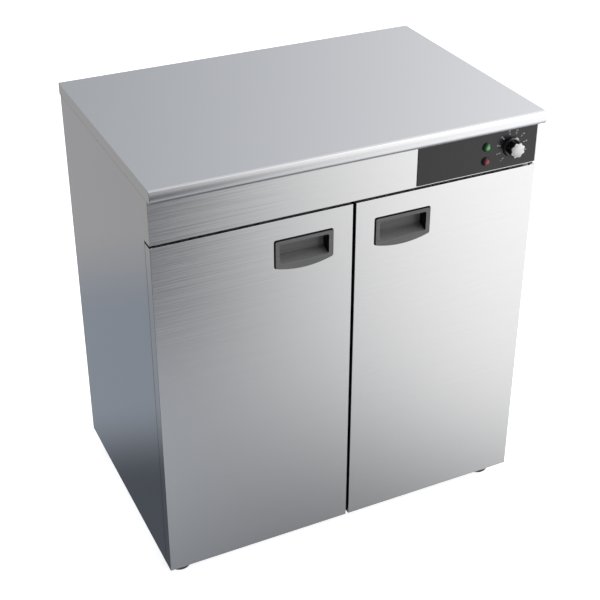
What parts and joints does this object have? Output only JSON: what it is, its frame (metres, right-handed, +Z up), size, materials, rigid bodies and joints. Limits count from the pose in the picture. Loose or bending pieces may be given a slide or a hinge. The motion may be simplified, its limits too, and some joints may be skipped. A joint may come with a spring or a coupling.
{
  "type": "plate warmer cabinet",
  "caption": "Free-standing two-door plate warmer cabinet in brushed steel, with heated shelves, flush cup handles, pilot lamps and a dial thermostat.",
  "frame": {"origin": "on the floor under the middle of the bounding box", "axes": "+Z up, +X across the width to the right as seen from the front, the doors face -Y"},
  "size_m": [0.8, 0.5576, 0.9],
  "materials": {
    "casing_steel": "brushed stainless steel",
    "liner_steel": "dull stainless steel",
    "galvanised_steel": "galvanised sheet",
    "charcoal_panel": "satin charcoal film on steel",
    "handle_plastic": "moulded, fine texture",
    "knob_black": "gloss",
    "knob_silver": "satin",
    "green_lens": "clear moulded lens",
    "red_lens": "clear moulded lens",
    "lamp_black": "moulded",
    "seal_rubber": "extruded silicone",
    "foot_rubber": "moulded",
    "mineral_wool": "fibre slab",
    "element_steel": "heat-darkened steel tube",
    "brass": "turned",
    "copper": "drawn tube",
    "zinc_steel": "zinc plated",
    "terminal_white": "moulded",
    "wire_jacket": "silicone sleeve",
    "gland_nylon": "moulded nylon"
  },
  "bodies": {
    "cabinet": {"top_panel": "casing_steel", "left_side_panel": "casing_steel", "right_side_panel": "casing_steel", "back_panel": "galvanised_steel", "base_pan": "galvanised_steel", "left_front_post": "liner_steel", "right_front_post": "liner_steel", "top_front_rail": "liner_steel", "bottom_front_rail": "liner_steel", "front_fascia": "casing_steel", "control_panel": "charcoal_panel", "liner_left": "liner_steel", "liner_right": "liner_steel", "liner_back": "liner_steel", "liner_floor": "liner_steel", "liner_ceiling": "liner_steel", "insulation": "mineral_wool", "shelf_rails": "liner_steel", "lower_shelf": "liner_steel", "upper_shelf": "liner_steel", "heating_element": "element_steel", "element_bushes": "brass", "element_brackets": "liner_steel", "element_cover": "liner_steel", "thermostat_body": "terminal_white", "capillary_bulb": "copper", "bulb_clips": "liner_steel", "green_lamp_body": "lamp_black", "green_lamp_lens": "green_lens", "red_lamp_body": "lamp_black", "red_lamp_lens": "red_lens", "terminal_block": "terminal_white", "wiring": "wire_jacket", "cable_gland": "gland_nylon", "left_hinge_pins": "zinc_steel", "right_hinge_pins": "zinc_steel", "door_catches": "lamp_black", "foot_front_left": "foot_rubber", "foot_front_right": "foot_rubber", "foot_rear_left": "foot_rubber", "foot_rear_right": "foot_rubber", "foot_stems": "zinc_steel", "casing_screws": "zinc_steel"},
    "left_door": {"left_door_skin": "casing_steel", "left_door_inner": "liner_steel", "left_door_insulation": "mineral_wool", "left_door_handle": "handle_plastic", "left_door_gasket": "seal_rubber", "left_door_bushes": "seal_rubber", "left_door_strike": "zinc_steel"},
    "right_door": {"right_door_skin": "casing_steel", "right_door_inner": "liner_steel", "right_door_insulation": "mineral_wool", "right_door_handle": "handle_plastic", "right_door_gasket": "seal_rubber", "right_door_bushes": "seal_rubber", "right_door_strike": "zinc_steel"},
    "knob": {"thermostat_shaft": "zinc_steel", "knob_grip": "knob_black", "knob_cap": "knob_silver"}
  },
  "joints": [
    {"name": "left_door_hinge", "type": "hinge", "parent": "cabinet", "child": "left_door", "pos_m": [-0.3927, -0.24585, 0.4], "axis": [0, 0, -1], "range_deg": [0, 110]},
    {"name": "right_door_hinge", "type": "hinge", "parent": "cabinet", "child": "right_door", "pos_m": [0.3927, -0.24585, 0.4], "axis": [0, 0, 1], "range_deg": [0, 110]},
    {"name": "knob_turn", "type": "hinge", "parent": "cabinet", "child": "knob", "pos_m": [0.3382, -0.26585, 0.8306], "axis": [0, 1, 0], "range_deg": [0, 248]}
  ]
}
